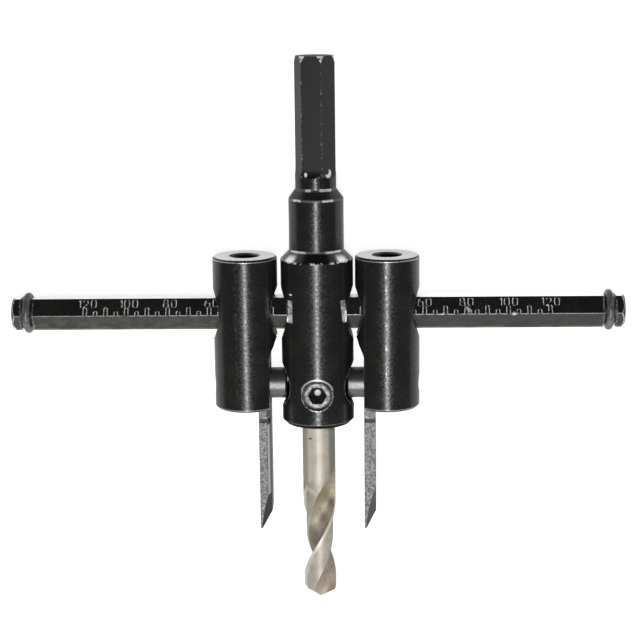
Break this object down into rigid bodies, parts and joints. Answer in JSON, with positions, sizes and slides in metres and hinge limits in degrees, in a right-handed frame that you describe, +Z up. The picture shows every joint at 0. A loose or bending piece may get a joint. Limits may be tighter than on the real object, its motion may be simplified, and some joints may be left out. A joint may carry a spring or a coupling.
{
  "type": "adjustable hole saw",
  "caption": "Adjustable hole saw: hexagon shank and pilot drill on a turned body, with two cutter holders that slide on a graduated cross bar.",
  "frame": {"origin": "on the floor below the middle of the tool's length and of its cross bar, tool lying on its back", "axes": "+X along the cross bar, +Y along the tool axis towards the shank, +Z up"},
  "size_m": [0.1476, 0.1344, 0.0175],
  "materials": {
    "black_steel": "blackened steel, semi-gloss",
    "black_bar": "blackened drawn steel, semi-gloss",
    "screw_steel": "black oxide",
    "blade_steel": "hardened, ground ends",
    "drill_steel": "ground, straw tint",
    "rubber": "smooth"
  },
  "bodies": {
    "arbor": {"arbor_body": "black_steel", "scale_bar": "black_bar", "left_stop_ring": "rubber", "right_stop_ring": "rubber"},
    "pilot": {"pilot_drill": "drill_steel"},
    "pilot_lock": {"drill_lock_screw": "screw_steel"},
    "left_carriage": {"left_holder": "black_steel"},
    "left_lock": {"left_lock_screw": "screw_steel"},
    "left_cutter": {"left_blade": "blade_steel"},
    "left_clamp": {"left_blade_screw": "screw_steel"},
    "right_carriage": {"right_holder": "black_steel"},
    "right_lock": {"right_lock_screw": "screw_steel"},
    "right_cutter": {"right_blade": "blade_steel"},
    "right_clamp": {"right_blade_screw": "screw_steel"}
  },
  "joints": [
    {"name": "left_holder_slide", "type": "slide", "parent": "arbor", "child": "left_carriage", "axis": [-1, 0, 0], "range_m": [0, 0.045]},
    {"name": "right_holder_slide", "type": "slide", "parent": "arbor", "child": "right_carriage", "axis": [1, 0, 0], "range_m": [0, 0.045]},
    {"name": "left_lock_screw_out", "type": "slide", "parent": "left_carriage", "child": "left_lock", "axis": [0, 1, 0], "range_m": [0, 0.0035]},
    {"name": "right_lock_screw_out", "type": "slide", "parent": "right_carriage", "child": "right_lock", "axis": [0, 1, 0], "range_m": [0, 0.0035]},
    {"name": "left_blade_slide", "type": "slide", "parent": "left_carriage", "child": "left_cutter", "axis": [0, 1, 0], "range_m": [-0.003, 0.003]},
    {"name": "right_blade_slide", "type": "slide", "parent": "right_carriage", "child": "right_cutter", "axis": [0, 1, 0], "range_m": [-0.003, 0.003]},
    {"name": "left_clamp_screw_out", "type": "slide", "parent": "left_carriage", "child": "left_clamp", "axis": [1, 0, 0], "range_m": [0, 0.0007]},
    {"name": "right_clamp_screw_out", "type": "slide", "parent": "right_carriage", "child": "right_clamp", "axis": [-1, 0, 0], "range_m": [0, 0.0007]},
    {"name": "pilot_drill_slide", "type": "slide", "parent": "arbor", "child": "pilot", "axis": [0, -1, 0], "range_m": [0, 0.01]},
    {"name": "drill_lock_screw_out", "type": "slide", "parent": "arbor", "child": "pilot_lock", "axis": [0, 0, 1], "range_m": [0, 0.0025]}
  ]
}
